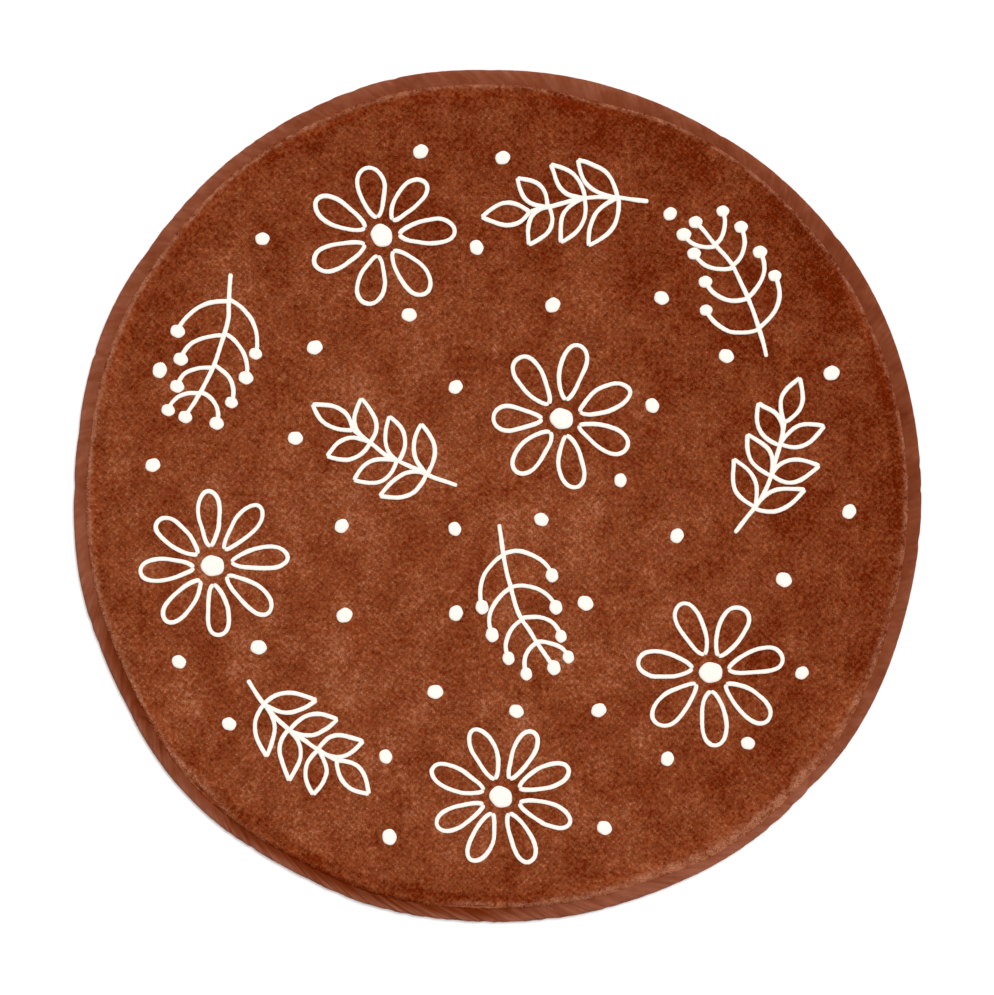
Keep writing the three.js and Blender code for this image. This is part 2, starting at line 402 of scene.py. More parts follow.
def crease_shade(angle, across):
    """How deep in a crease a place lies, from 0 to 1: a fine line and a softer shade about it."""
    clear = 1
    share = np.clip(across, 0, 1)
    for depth, away, half_width in crease_places(angle, across):
        width = half_width * np.where(away > 0, 1.2, 0.7) * (1.5 - 0.8 * share)
        fading = np.clip(depth / CREASE_DEEP, 0, 1) * (1 - 0.75 * share ** 2)
        soft = CREASE_SHADE * fading * np.exp(-((away / width) ** 2))
        line = CREASE_LINE_SHADE * fading * np.exp(-((away / CREASE_LINE) ** 2))
        clear = clear * (1 - soft) * (1 - line)
    return 1 - clear


def between_cells(grid, ix, iy, share_x, share_y):
    """A grid's value between four cells, its last row and column followed by its first."""
    size = len(grid)
    low_x, high_x, low_y, high_y = ix % size, (ix + 1) % size, iy % size, (iy + 1) % size
    low = grid[low_x, low_y] * (1 - share_x) + grid[high_x, low_y] * share_x
    high = grid[low_x, high_y] * (1 - share_x) + grid[high_x, high_y] * share_x
    return low * (1 - share_y) + high * share_y


def soft_noise(x, y, cell, seed):
    """Smooth noise from -1 to 1 over a plane, its bumps about one cell apart."""
    lattice = np.random.default_rng(seed).uniform(-1, 1, (NOISE_CELLS, NOISE_CELLS))
    gx, gy = x / cell, y / cell
    ix, iy = np.floor(gx).astype(int), np.floor(gy).astype(int)
    fx, fy = gx - ix, gy - iy
    return between_cells(lattice, ix, iy, fx * fx * (3 - 2 * fx), fy * fy * (3 - 2 * fy))


def soft_shift(x, y, cell, seed):
    """Smooth noise along X and along Y."""
    return stacked(soft_noise(x, y, cell, seed), soft_noise(x, y, cell, seed + 1))


def ground_swell(x, y):
    """The mat's slight unevenness, in metres."""
    return (0.22 * soft_noise(x, y, 0.09, SEED) + 0.1 * soft_noise(x, y, 0.035, SEED + 1)) * MM


def add_object(name, data):
    made = bpy.data.objects.new(name, data)
    bpy.context.scene.collection.objects.link(made)
    return made


def add_mesh(name, points, faces, materials):
    """A mesh object from points and a list of arrays of faces, each array with one corner count."""
    mesh = bpy.data.meshes.new(name)
    places = np.asarray(points, np.float32).ravel()
    mesh.vertices.add(len(places) // 3)
    mesh.vertices.foreach_set("co", places)
    corners = np.concatenate([f.ravel() for f in faces])
    counts = np.concatenate([np.full(len(f), f.shape[1]) for f in faces])
    mesh.loops.add(len(corners))
    mesh.loops.foreach_set("vertex_index", corners.astype(np.int32))
    mesh.polygons.add(len(counts))
    starts = np.concatenate([[0], np.cumsum(counts)[:-1]])
    mesh.polygons.foreach_set("loop_start", starts.astype(np.int32))
    mesh.update(calc_edges=True)
    mesh.polygons.foreach_set("use_smooth", np.full(len(counts), True))
    for material in materials:
        mesh.materials.append(material)
    return add_object(name, mesh)


def store_colour(piece, name, colours):
    made = piece.data.attributes.new(name, "FLOAT_COLOR", "POINT")
    made.data.foreach_set("color", np.asarray(colours, np.float32).ravel())


def loop_faces(rows, ring):
    """Quads between each closed ring of points and the next one, and from the last ring to the first."""
    i = np.arange(rows)[:, None]
    j = np.arange(ring)[None, :]
    after_i, after_j = (i + 1) % rows, (j + 1) % ring
    quads = [i * ring + j, after_i * ring + j, after_i * ring + after_j, i * ring + after_j]
    return stacked(*quads).reshape(-1, 4)


def cut_corners(section):
    """A closed section with each corner cut off at a quarter of its sides."""
    after = np.roll(section, -1, axis=0)
    pair = np.stack([0.75 * section + 0.25 * after, 0.25 * section + 0.75 * after], 1)
    return pair.reshape(-1, section.shape[1])


def linear(red, green, blue):
    """A colour of 0 to 255 steps, as it shows in this studio's light, as the shader's own numbers."""
    steps = np.array([red, green, blue]) / 255
    shown = np.where(steps <= 0.04045, steps / 12.92, ((steps + 0.055) / 1.055) ** 2.4)
    return (*[float(c) / STUDIO_LIGHT for c in shown], 1.0)


class Nodes:
    """A material's node tree, with short calls for the nodes that this script uses."""

    def __init__(self, name, roughness, specular, sheen=0.0, sheen_tint=(1, 1, 1, 1)):
        self.material = bpy.data.materials.new(name)
        self.material.use_nodes = True
        self.tree = self.material.node_tree
        self.shader = self.tree.nodes["Principled BSDF"]
        self.fill(self.shader, {"Roughness": roughness, "Specular IOR Level": specular})
        self.fill(self.shader, {"Sheen Weight": sheen, "Sheen Roughness": 0.5, "Sheen Tint": sheen_tint})

    def fill(self, made, sockets):
        """Gives a node's sockets a source, or else a number or a colour of their own."""
        for key, value in sockets.items():
            if isinstance(value, bpy.types.NodeSocket):
                self.tree.links.new(value, made.inputs[key])
            else:
                made.inputs[key].default_value = value

    def node(self, kind, sockets, **settings):
        made = self.tree.nodes.new("ShaderNode" + kind)
        for key, value in settings.items():
            setattr(made, key, value)
        self.fill(made, sockets)
        return made

    def place(self, stretch=(1, 1, 1), turn=0.0):
        """Places in metres, turned about Z and stretched."""
        source = self.node("TexCoord", {}).outputs["Object"]
        sockets = {"Vector": source, "Scale": stretch, "Rotation": (0, 0, turn)}
        return self.node("Mapping", sockets).outputs["Vector"]

    def noise(self, scale, place, detail=2.0, roughness=0.5):
        sockets = {"Vector": place, "Scale": scale, "Detail": detail, "Roughness": roughness}
        return self.node("TexNoise", sockets).outputs["Fac"]

    def wave(self, scale, place, direction, distortion):
        sockets = {"Vector": place, "Scale": scale, "Distortion": distortion, "Detail Scale": 1.5}
        made = self.node("TexWave", sockets, wave_type="BANDS", bands_direction=direction)
        return made.outputs["Fac"]

    def math(self, operation, first, second):
        return self.node("Math", {0: first, 1: second}, operation=operation).outputs[0]

    def vector_math(self, operation, sockets):
        return self.node("VectorMath", sockets, operation=operation).outputs

    def dot(self, first, second):
        return self.vector_math("DOT_PRODUCT", {0: first, 1: second})["Value"]

    def blend(self, terms, start):
        """start plus each source's distance from its middle times its share."""
        total = start
        for source, middle, share in terms:
            offset = self.math("SUBTRACT", source, middle)
            total = self.math("ADD", total, self.math("MULTIPLY", offset, share))
        return total

    def ramp(self, value, colours, middle=0.5):
        """A ramp from the first colour to the last, where there are three with the second at its middle."""
        made = self.node("ValToRGB", {"Fac": value})
        elements = made.color_ramp.elements
        if len(colours) > 2:
            elements.new(middle)
        for element, colour in zip(elements, colours):
            element.color = colour
        return made.outputs["Color"]

    def mix(self, factor, first, second):
        return self.node("Mix", {0: factor, 6: first, 7: second}, data_type="RGBA").outputs[2]

    def attribute(self, name):
        """The three channels of a colour stored on the mesh."""
        stored = self.node("Attribute", {}, attribute_name=name).outputs["Color"]
        return self.node("SeparateColor", {"Color": stored}).outputs[:3]

    def bump(self, height, distance, strength=1.0, under=None):
        sockets = {"Strength": strength, "Distance": distance, "Height": height}
        if under is not None:
            sockets["Normal"] = under
        return self.node("Bump", sockets).outputs["Normal"]

    def upward(self, share):
        """The surface's own normal, turned a share of the way up: fine pile lets light through its sides."""
        own = self.node("NewGeometry", {}).outputs["Normal"]
        scaled = self.vector_math("SCALE", {0: own, "Scale": 1 - share})["Vector"]
        raised = self.vector_math("ADD", {0: scaled, 1: (0, 0, share)})["Vector"]
        return self.vector_math("NORMALIZE", {0: raised})["Vector"]

    def finish(self, colour, normal=None):
        self.fill(self.shader, {"Base Color": colour})
        if normal is not None:
            self.fill(self.shader, {"Normal": normal})
        return self.material


# Colours from dark to light, and of the pale fringe, partly a painted highlight, the ground under it and the
# painted shade of the folds and the seam.
PILE_COLOURS = (linear(116, 34, 2), linear(160, 82, 45), linear(213, 140, 104))
BINDING_COLOURS = (linear(92, 33, 9), linear(124, 63, 39), linear(153, 92, 69))
BACKING_COLOURS = (linear(104, 52, 34), linear(126, 68, 46), linear(146, 86, 62))
THREAD_COLOURS = (linear(238, 221, 203), linear(253, 244, 233), linear(254, 250, 244))
FLOOR_COLOURS = ((0.94, 0.94, 0.94, 1), (0.96, 0.96, 0.96, 1))
PILE_PALE = linear(212, 140, 106)
GROUND_PALE = linear(178, 110, 80)
FOLD_SHADE = linear(99, 33, 0)

# The pile is painted lighter towards the front left, a painted light, and darker towards the rim, a painted
# shade: change of lightness per metre along X and Y, and per square metre of distance from the middle.
PAINTED_LIGHT_SWEEP = (-0.17, -0.17, 0)
RIM_SHADE = -0.55

# How much of a pale tuft's colour shows on average, up to which paleness it grows more uneven, the pile's
# mean tone, how far its normals turn up, and the pitch of the threads in a satin stitch, in millimetres.
FRINGE_SHARE = 0.52
FRINGE_UNEVEN = 0.72
PILE_MEAN_TONE = 0.437
PILE_UPWARD = 0.93
THREAD_PITCH = 0.55


def pile_tone(nodes, tint):
    """The pile's lightness from 0 to 1: soft patches, faint upright streaks, painted light towards the front
    left and painted shade towards the rim, and each tuft's own tint.
    """
    plain = nodes.place()
    streaks = nodes.noise(1.0, nodes.place(stretch=(75, 9, 9)), detail=2.0)
    mottle = nodes.noise(14.0, plain, detail=5.0, roughness=0.84)
    knots = nodes.noise(210.0, plain, detail=1.0, roughness=0.6)
    terms = [
        (mottle, 0.5, 1.42),
        (knots, 0.5, 0.95),
        (streaks, 0.5, 0.14),
        (nodes.dot(plain, PAINTED_LIGHT_SWEEP), 0.0, 1.0),
        (nodes.dot(plain, plain), 0.1, RIM_SHADE),
        (tint, 0.5, 1.2),
    ]
    return nodes.blend(terms, PILE_MEAN_TONE)


def make_pile_material(name, pale, fibrous):
    """The pile's colour, from the places and from the stored tint, paleness and height of each point."""
    nodes = Nodes(name, 0.95, 0.02)
    tint, rim, height = nodes.attribute("pile")
    plain = nodes.place()
    # Painted shade: each tuft a little darker at its foot than at its tip, and the ground between them darker
    # still.
    tone = nodes.blend([(height, 0.75, 0.05)], pile_tone(nodes, tint))
    colour = nodes.ramp(tone, PILE_COLOURS)
    # The pale fringe at the pile's edge, mixed in by the stored paleness: pale fibres, partly a painted
    # highlight.
    flecks = nodes.noise(220.0, plain, detail=2.0, roughness=0.6)
    patches = nodes.noise(60.0, plain, detail=1.0)
    uneven = nodes.blend([(flecks, 0.5, 3.4), (patches, 0.5, 2.0)], 0.0)
    uneven = nodes.math("MULTIPLY", nodes.math("MINIMUM", rim, FRINGE_UNEVEN), uneven)
    share = nodes.math("ADD", nodes.math("MULTIPLY", rim, FRINGE_SHARE), uneven)
    normal = nodes.upward(PILE_UPWARD)
    if fibrous:
        fibres = nodes.noise(1100.0, plain, detail=3.0)
        lumps = nodes.noise(420.0, plain, detail=1.0)
        normal = nodes.bump(fibres, 0.3 * MM, under=nodes.bump(lumps, 0.9 * MM))
    return nodes.finish(nodes.mix(share, colour, pale), normal)


def weave_height(nodes, threads, turn):
    """A plain weave's relief: two sets of threads that cross."""
    place = nodes.place(turn=turn)
    warp = nodes.wave(threads, place, "X", distortion=0.6)
    weft = nodes.wave(threads, place, "Y", distortion=0.6)
    return nodes.math("MAXIMUM", warp, weft)


def make_binding_material():
    nodes = Nodes("binding_cotton", 0.9, 0.03)
    plain = nodes.place()
    fold, painted_seam_shade, lighter = nodes.attribute("folds")
    weave = weave_height(nodes, 380.0, math.radians(45))
    cloudy = nodes.noise(26.0, plain, detail=5.0, roughness=0.75)
    tone = nodes.blend([(cloudy, 0.5, 0.9), (weave, 0.5, 0.14), (lighter, 0.5, 1.0)], 0.5)
    # Painted shade: the seam's shade and then the folds' shade mixed in as a dark colour.
    shaded = nodes.mix(painted_seam_shade, nodes.ramp(tone, BINDING_COLOURS), FOLD_SHADE)
    shaded = nodes.mix(nodes.math("MULTIPLY", fold, 0.95), shaded, FOLD_SHADE)
    wrinkles = nodes.noise(190.0, plain, detail=3.0, roughness=0.6)
    soft = nodes.bump(wrinkles, 0.7 * MM)
    return nodes.finish(shaded, nodes.bump(weave, 0.15 * MM, 0.8, soft))


def make_backing_material():
    nodes = Nodes("backing_cotton", 0.9, 0.15)
    weave = weave_height(nodes, 300.0, 0.0)
    cloudy = nodes.noise(12.0, nodes.place(), detail=3.0)
    tone = nodes.blend([(cloudy, 0.5, 0.5), (weave, 0.5, 0.3)], 0.5)
    return nodes.finish(nodes.ramp(tone, BACKING_COLOURS), nodes.bump(weave, 0.2 * MM))


def make_thread_material():
    nodes = Nodes("satin_thread", 0.5, 0.35, sheen=0.15, sheen_tint=linear(255, 250, 240))
    along, _, shade = nodes.attribute("stitch")
    ribs = nodes.math("SINE", nodes.math("MULTIPLY", along, 2 * math.pi / THREAD_PITCH), 0.0)
    fuzz = nodes.noise(900.0, nodes.place(), detail=2.0)
    # Painted light and shade: the ribs a little lighter and darker across the threads, and the stored shade,
    # darker on the lines' sides, at the spots' foot and in their needle holes, with a little random tone.
    tone = nodes.blend([(ribs, 0.0, 0.1), (fuzz, 0.5, 0.3), (shade, 0.5, 0.5)], 0.6)
    return nodes.finish(nodes.ramp(tone, THREAD_COLOURS, middle=0.6), nodes.bump(ribs, 0.1 * MM, 0.6))


def make_floor_material():
    nodes = Nodes("pale_floor", 0.85, 0.1)
    speckle = nodes.noise(6.0, nodes.place(), detail=2.0)
    return nodes.finish(nodes.ramp(speckle, FLOOR_COLOURS))


def section_points(section, angle, wrinkle):
    """Places of a section's points, each at its own angle, as an array of columns by points by three."""
    row = columns(SECTION_COLUMNS, section)
    across = row["across"]
    edge = edge_radius(angle)
    seam = seam_radius(angle)
    rise = cloth_rise(angle, across) + wrinkle
    radius = seam * (1 + np.minimum(across, 0)) + (edge - seam) * np.maximum(across, 0)
    radius = radius + (row["out"] + rise * row["spread"]) * MM
    height = (row["height"] + rise * row["rise"] - around(SEAM, "sink", angle) * row["sink"]) * MM
    return polar(angle, radius, height)


def column_angles():
    """Angles of the binding's columns at the seam, closer together along the side with many folds."""
    fine = np.arange(3600) / 10
    crowd = np.cumsum(1 + 1.2 * np.exp(-(((fine - 238) / 42) ** 4)))
    return np.interp((np.arange(BINDING_COLUMNS) + 0.5) / BINDING_COLUMNS * crowd[-1], crowd, fine)


def make_binding(material):
    """The cloth strip folded round the rug's edge, with its puckers and small slanting wrinkles. Its columns
    of points slant as its folds do."""
    section = cut_corners(np.array(BINDING_SECTION, float))
    across = section[:, 0]
    share = np.clip(across, 0, 1)
    foot = column_angles()[:, None]
    angle = foot + around(SEAM, "slant", foot) * share
    depth = across * BINDING_DEPTH * MM
    slant = np.radians(foot) * MEAN_RADIUS - 0.2 * depth
    puff = around(SEAM, "puff", angle)
    gathered = 0.5 + 0.5 * puff
    wrinkle = gathered * (0.42 * soft_noise(slant, depth * 0.5, 6 * MM, SEED + 2)
                          + 0.2 * soft_noise(slant, depth, 2.4 * MM, SEED + 3))
    points = section_points(section, angle, wrinkle)
    faces = loop_faces(BINDING_COLUMNS, len(section))
    piece = add_mesh("binding_strip", points, [faces], [material])
    pleated = np.clip((puff - 0.5) / 0.4, 0, 1)
    # Painted light and shade of the small wrinkles: lighter and darker slanting streaks.
    fine = soft_noise(slant, depth * 0.3, 3.5 * MM, SEED + 19) * (0.12 * (0.5 + gathered) + 0.14 * pleated)
    broad = soft_noise(slant, depth * 0.2, 6 * MM, SEED + 20) * 0.32 * pleated
    # Painted shade of tucks in the gathered cloth, on top of the creases' painted shade.
    painted_tuck_shade = np.clip(soft_noise(slant, depth * 0.25, 5 * MM, SEED + 21), 0, 1) * 0.55 * pleated
    folds = 1 - (1 - crease_shade(angle, across)) * (1 - painted_tuck_shade)
    # Painted shade towards the seam, where the pile's edge shades the binding.
    painted_seam_shade = around(SEAM_LOOK, "shade", angle) * np.interp(across, SHADE_PLACES, SHADE_DEPTHS)
    # How much lighter the binding is, with the wrinkles' painted streaks, and lighter towards its outer edge.
    lighter = 0.5 + around(SEAM_LOOK, "binding", angle) / BINDING_TONE_STEPS
    lighter = lighter + (fine + broad) + 0.09 * share ** 2
    store_colour(piece, "folds", stacked(folds, painted_seam_shade, lighter, 1))
    return piece


def pile_edge(angle, inward):
    """At a distance inside the seam: height of the pile's tips, distance inside the pressed-down lip, how far
    down the pile is pressed, its paleness, partly a painted highlight, and its darkness, painted shade and
    darker where the pile is pressed."""
    lip = around(SEAM, "lip", angle) * MM
    fringe = around(SEAM_LOOK, "fringe", angle) * MM
    pale = around(SEAM_LOOK, "pale", angle)
    pressed = np.clip((lip - inward) / (1.5 * MM), 0, 1)
    beyond = np.maximum(inward - lip, 0)
    roll = np.interp(beyond / fringe, EDGE_SHARES, EDGE_ROLLS) * around(SEAM, "roll", angle) * MM
    level = PILE_TIPS - roll - 1.2 * MM * pressed
    spread = np.exp(-(((beyond - 0.6 * fringe) / (0.72 * fringe)) ** 2))
    # Painted shade on the pile some way inside the seam, as in a slight hollow.
    painted_hollow_shade = around(SEAM_LOOK, "painted_hollow_shade", angle) / HOLLOW_TONE_STEPS
    painted_hollow_shade = painted_hollow_shade * np.exp(-(((beyond - 12 * MM) / (10 * MM)) ** 2))
    # Painted shade where the pale column is below 0, and darker where the pile is pressed.
    dim = np.maximum(-pale, 0) * np.exp(-((beyond / (3.5 * MM)) ** 2)) + 0.35 * pressed
    # Painted shade where the seam lies in shade: it dims the pale fibres and darkens the pile's edge.
    shaded = np.clip(around(SEAM_LOOK, "shade", angle), 0, 1) * np.exp(-((inward / (1.7 * MM)) ** 2))
    paleness = np.maximum(pale, 0) * spread * (1 - 0.85 * pressed) * (1 - 0.8 * shaded)
    return level, beyond, pressed, paleness, painted_hollow_shade + dim + 0.25 * shaded


def make_base(ground, backing):
    """The mat under its pile: its top, its wall, the rim inside the binding and its flat underside."""
    steps = 480
    angle = np.arange(steps) * 360 / steps
    seam = seam_radius(angle) / MM
    edge = edge_radius(angle) / MM
    over = 0.7 - 1.6 * around(SEAM, "sink", angle)
    foot = PILE_FOOT / MM
    rings = [(seam * share, foot) for share in np.linspace(0.02, 0.96, 32)]
    colours = [np.tile([GROUND_TINT, 0, 0.3, 1], (steps, 1)) for _ in rings]
    on_top = len(rings)
    for depth in (15, 12, 9.5, 7.5, 6, 4.6, 3.4, 2.3, 1.4, 0.7, 0.1):
        level, _, _, pale, dark = pile_edge(angle, np.full(steps, depth * MM))
        rings.append((seam - depth, np.clip(level / MM - PILE_DEPTH / MM, 6.5, foot)))
        # The ground's tint with the painted shade of the pile's edge, and its pale fringe, partly a painted
        # highlight.
        colours.append(stacked(GROUND_TINT - 0.5 * dark, pale, 0.3, 1))
    rings += [
        (seam + over, 6.5),
        (seam + over - 0.1, 6.3),
        (seam - 0.6, 6.1),
        (seam - 0.6, 2.6),
        (seam + (edge - seam) * 0.25, 3.0),
        (seam + (edge - seam) * 0.72, 2.8),
        (edge - BINDING_PAST_MAT, 2.5),
        (edge - BINDING_PAST_MAT, 2.0),
        (seam + (edge - seam) * 0.7, 1.6),
        (seam - 3.4, 1.6),
        (seam - 3.4, 0.0),
        (seam * 0.02, 0.0),
    ]
    wall = colours[-1] * [1, WALL_PALENESS, 1, 1]
    colours += [wall] * (len(rings) - len(colours))
    points = np.array([polar(angle, radius, height) for radius, height in rings]) * MM
    points[:on_top, :, 2] += ground_swell(points[:on_top, :, 0], points[:on_top, :, 1])
    quads = loop_faces(len(rings), steps)[: (len(rings) - 1) * steps]
    top_cap = np.arange(steps)[None, :]
    under_cap = (np.arange(steps)[::-1] + (len(rings) - 1) * steps)[None, :]
    piece = add_mesh("velour_base", points, [quads, top_cap, under_cap], [ground, backing])
    index = np.zeros(len(piece.data.polygons), np.int32)
    index[(len(rings) - 2) * steps: len(quads)] = 1
    index[-1] = 1
    piece.data.polygons.foreach_set("material_index", index)
    piece.data.polygons.foreach_set("use_smooth", index == 0)
    store_colour(piece, "pile", np.concatenate(colours))
    return piece


def hand_drawn(path):
    """A path with a hand's slight waver, near things wavering alike."""
    waver = soft_shift(*path.T, 34 * MM, SEED + 4)
    quick = soft_shift(*path.T, 13 * MM, SEED + 6)
    return path + waver * 2.2 * MM + quick * 0.5 * MM


def even_steps(path, step):
    """The path's points again, evenly a step apart."""
    lengths = np.hypot(*np.diff(path, axis=0).T)
    run = np.concatenate([[0], np.cumsum(lengths)])
    places = np.linspace(0, run[-1], max(int(round(run[-1] / step)), 3) + 1)
    return stacked(np.interp(places, run, path[:, 0]), np.interp(places, run, path[:, 1]))


def turned(path, angle, middle):
    cosine, sine = math.cos(angle), math.sin(angle)
    return path @ np.array([[cosine, sine], [-sine, cosine]]) + middle


def leaf_lines(foot, angle, length, half_width):
    """An outlined leaf: two sides that bow out from its foot and meet in its tip."""
    share = np.linspace(0, 1, 24)
    bow = half_width * np.sin(math.pi * share ** 0.9)
    sides = [stacked(length * share, side * bow) for side in (1, -1)]
    return [turned(side, angle, foot) for side in sides]


def bent_stem(rng, least, most, length):
    """A stem, bent to either side and upright about its motif's middle, and its points' places on it."""
    share = np.linspace(0, 1, 60)
    bend = rng.uniform(least, most) * rng.choice([-1, 1])
    return stacked(bend * np.sin(math.pi * share) - bend / 2, -84 + length * share) * MM, share


def sprig(rng):
    """A leaf sprig, upright about its middle: a bent stem, three pairs of leaves and one at its tip."""
    stem, _ = bent_stem(rng, 7, 12, 122)
    lines = [stem]
    for k, place in enumerate((0.26, 0.55, 0.84)):
        foot = stem[int(place * 59)]
        length = (54 - 4 * k + rng.uniform(-2, 2)) * MM
        for side in (1, -1):
            lean = math.radians(90 - side * (50 + rng.uniform(-5, 5)))
            start = foot + np.array([0, rng.uniform(-2, 2)]) * MM
            lines += leaf_lines(start, lean, length, rng.uniform(10, 11.6) * MM)
    lines += leaf_lines(stem[-1], math.radians(90 + rng.uniform(-8, 8)), 48 * MM, 11 * MM)
    return lines, []


def daisy(rng):
    """A daisy's outlined petals, about a middle that is filled."""
    petals = int(rng.integers(7, 9))
    turn = np.linspace(0, 2 * math.pi, 80)
    lines = []
    for k in range(petals):
        length = rng.uniform(50, 56) * MM
        half_width = rng.uniform(108, 118) / petals * MM
        out = (1 - np.cos(turn)) / 2
        petal = stacked(20 * MM + length * out, half_width * np.sin(turn) * (0.5 + 0.5 * out))
        lines.append(turned(petal, k * 2 * math.pi / petals + rng.uniform(-0.05, 0.05), np.zeros(2)))
    return lines, [(np.zeros(2), 13 * MM)]


def berry_twig(rng):
    """A bent twig with four pairs of side twigs, a berry at the end of each."""
    stem, share = bent_stem(rng, 8, 16, 154)
    lines, berries = [stem], [(stem[-1], rng.uniform(7.4, 8.4) * MM)]
    for k, place in enumerate((0.2, 0.42, 0.64, 0.82)):
        foot = stem[int(place * 59)]
        length = (48 - 6 * k + rng.uniform(-2, 2)) * MM
        for side in (1, -1):
            curve = stacked(side * length * 0.8 * np.sin(share * math.pi / 2), length * 0.85 * share ** 1.6)
            lines.append(foot + curve + np.array([0, side * rng.uniform(0, 2)]) * MM)
            berries.append((lines[-1][-1], rng.uniform(7, 8.2) * MM))
    return lines, berries


def clearance_field(stroke_points, half_widths, reach):
    """Distance from each cell of a fine grid to the nearest stroke's edge, up to a reach."""
    size = int(2 * MEAN_RADIUS / FIELD_CELL)
    field = np.full((size, size), reach)
    base = np.floor((stroke_points + MEAN_RADIUS) / FIELD_CELL).astype(int)
    span = int((reach + half_widths.max()) / FIELD_CELL) + 1
    for dx in range(-span, span + 1):
        for dy in range(-span, span + 1):
            ix, iy = base[:, 0] + dx, base[:, 1] + dy
            centre = (stacked(ix, iy) + 0.5) * FIELD_CELL - MEAN_RADIUS
            distance = np.hypot(*(centre - stroke_points).T) - half_widths
            np.minimum.at(field, (ix, iy), distance)
    return field


def read_field(field, x, y):
    """The clearance at any places, from the four cells round each."""
    last = len(field) - 1.001
    gx = np.clip((x + MEAN_RADIUS) / FIELD_CELL - 0.5, 0, last)
    gy = np.clip((y + MEAN_RADIUS) / FIELD_CELL - 0.5, 0, last)
    ix, iy = gx.astype(int), gy.astype(int)
    return between_cells(field, ix, iy, gx - ix, gy - iy)


def scatter(field, spacing, clear, rim, rng, tries=6000):
    """Places for small marks, clear of the lines and of each other."""
    found = []
    for _ in range(tries):
        radius, angle = rim * math.sqrt(rng.uniform()), rng.uniform(0, 2 * math.pi)
        x, y = radius * math.cos(angle), radius * math.sin(angle)
        free = all(math.hypot(x - a, y - b) > spacing for a, b in found)
        if free and read_field(field, np.array([x]), np.array([y]))[0] > clear:
            found.append((x, y))
    return found


def draw_embroidery():
    """The lines as even paths, and the filled spots as (middle, radius, stitch direction)."""
    rng = np.random.default_rng(SEED + 8)
    makers = {"daisy": daisy, "sprig": sprig, "twig": berry_twig}
    lines, spots = [], []
    for kind, x, y, pointing in MOTIFS:
        outline, filled = makers[kind](rng)
        middle = np.array([x, y]) * MM
        turn = math.radians(pointing - 90)
        lines += [hand_drawn(turned(line * MOTIF_SCALE, turn, middle)) for line in outline]
        for spot, radius in filled:
            spots.append((hand_drawn(turned(spot[None] * MOTIF_SCALE, turn, middle))[0], radius, turn))
    lines = [even_steps(line, STITCH_STEP) for line in lines]
    every = np.concatenate(lines + [spot[0][None] for spot in spots])
    field = clearance_field(every, np.full(len(every), LINE_HALF_WIDTH), 30 * MM)
    for x, y in scatter(field, DOT_SPACING, DOT_CLEARANCE, DOT_FIELD, rng):
        spots.append((np.array([x, y]), rng.uniform(7.6, 9) * MM, rng.uniform(0, math.pi)))
    return lines, spots


def satin_line(path, rng):
    """A raised line of satin stitches along a path: points, faces and stitch colours."""
    count = len(path)
    ahead = np.gradient(path, axis=0)
    ahead /= np.hypot(*ahead.T)[:, None]
    side = stacked(-ahead[:, 1], ahead[:, 0])
    run = np.arange(count) * STITCH_STEP
    to_end = np.minimum(run, run[-1] - run)
    short = 1 - np.clip((to_end + 0.5 * MM) / LINE_HALF_WIDTH, 0, 1)
    rounding = np.sqrt(np.clip(1 - short ** 2, 0, 1))
    knots = np.arange(0, run[-1] + 2 * WIDTH_WAVE, WIDTH_WAVE)
    slow = np.interp(run, knots, rng.uniform(-0.1, 0.1, len(knots)))
    left = LINE_HALF_WIDTH * (1 + slow + rng.uniform(-0.06, 0.06, count)) * rounding
    right = LINE_HALF_WIDTH * (1 + slow + rng.uniform(-0.06, 0.06, count)) * rounding
    swell = ground_swell(path[:, 0], path[:, 1])
    loft = STITCH_TOP + swell + rng.uniform(-0.06, 0.06, count) * MM - 0.5 * MM * (1 - rounding)
    across = np.array([-1, -0.95, -0.76, 0.76, 0.95, 1])
    drop = np.array([0, 0.42, 0.04, 0.04, 0.42, 0]) * MM
    reach = np.where(across < 0, right[:, None], left[:, None]) * across
    flat = path[:, None, :] + side[:, None, :] * reach[:, :, None]
    height = loft[:, None] - drop
    height[:, [0, -1]] = STITCH_FOOT
    points = stacked(flat[:, :, 0], flat[:, :, 1], height)
    ring = len(across)
    quads = loop_faces(count, ring)[: (count - 1) * ring]
    caps = np.stack([np.arange(ring), np.arange(ring)[::-1] + (count - 1) * ring])
    shade = np.where(np.abs(across) > 0.8, 0.25, 0.75) + rng.uniform(-0.1, 0.1, count)[:, None]
    colour = stacked(run[:, None] / MM, across * 0.5 + 0.5, shade, 1)
    return points.reshape(-1, 3), quads, caps, colour.reshape(-1, 4)


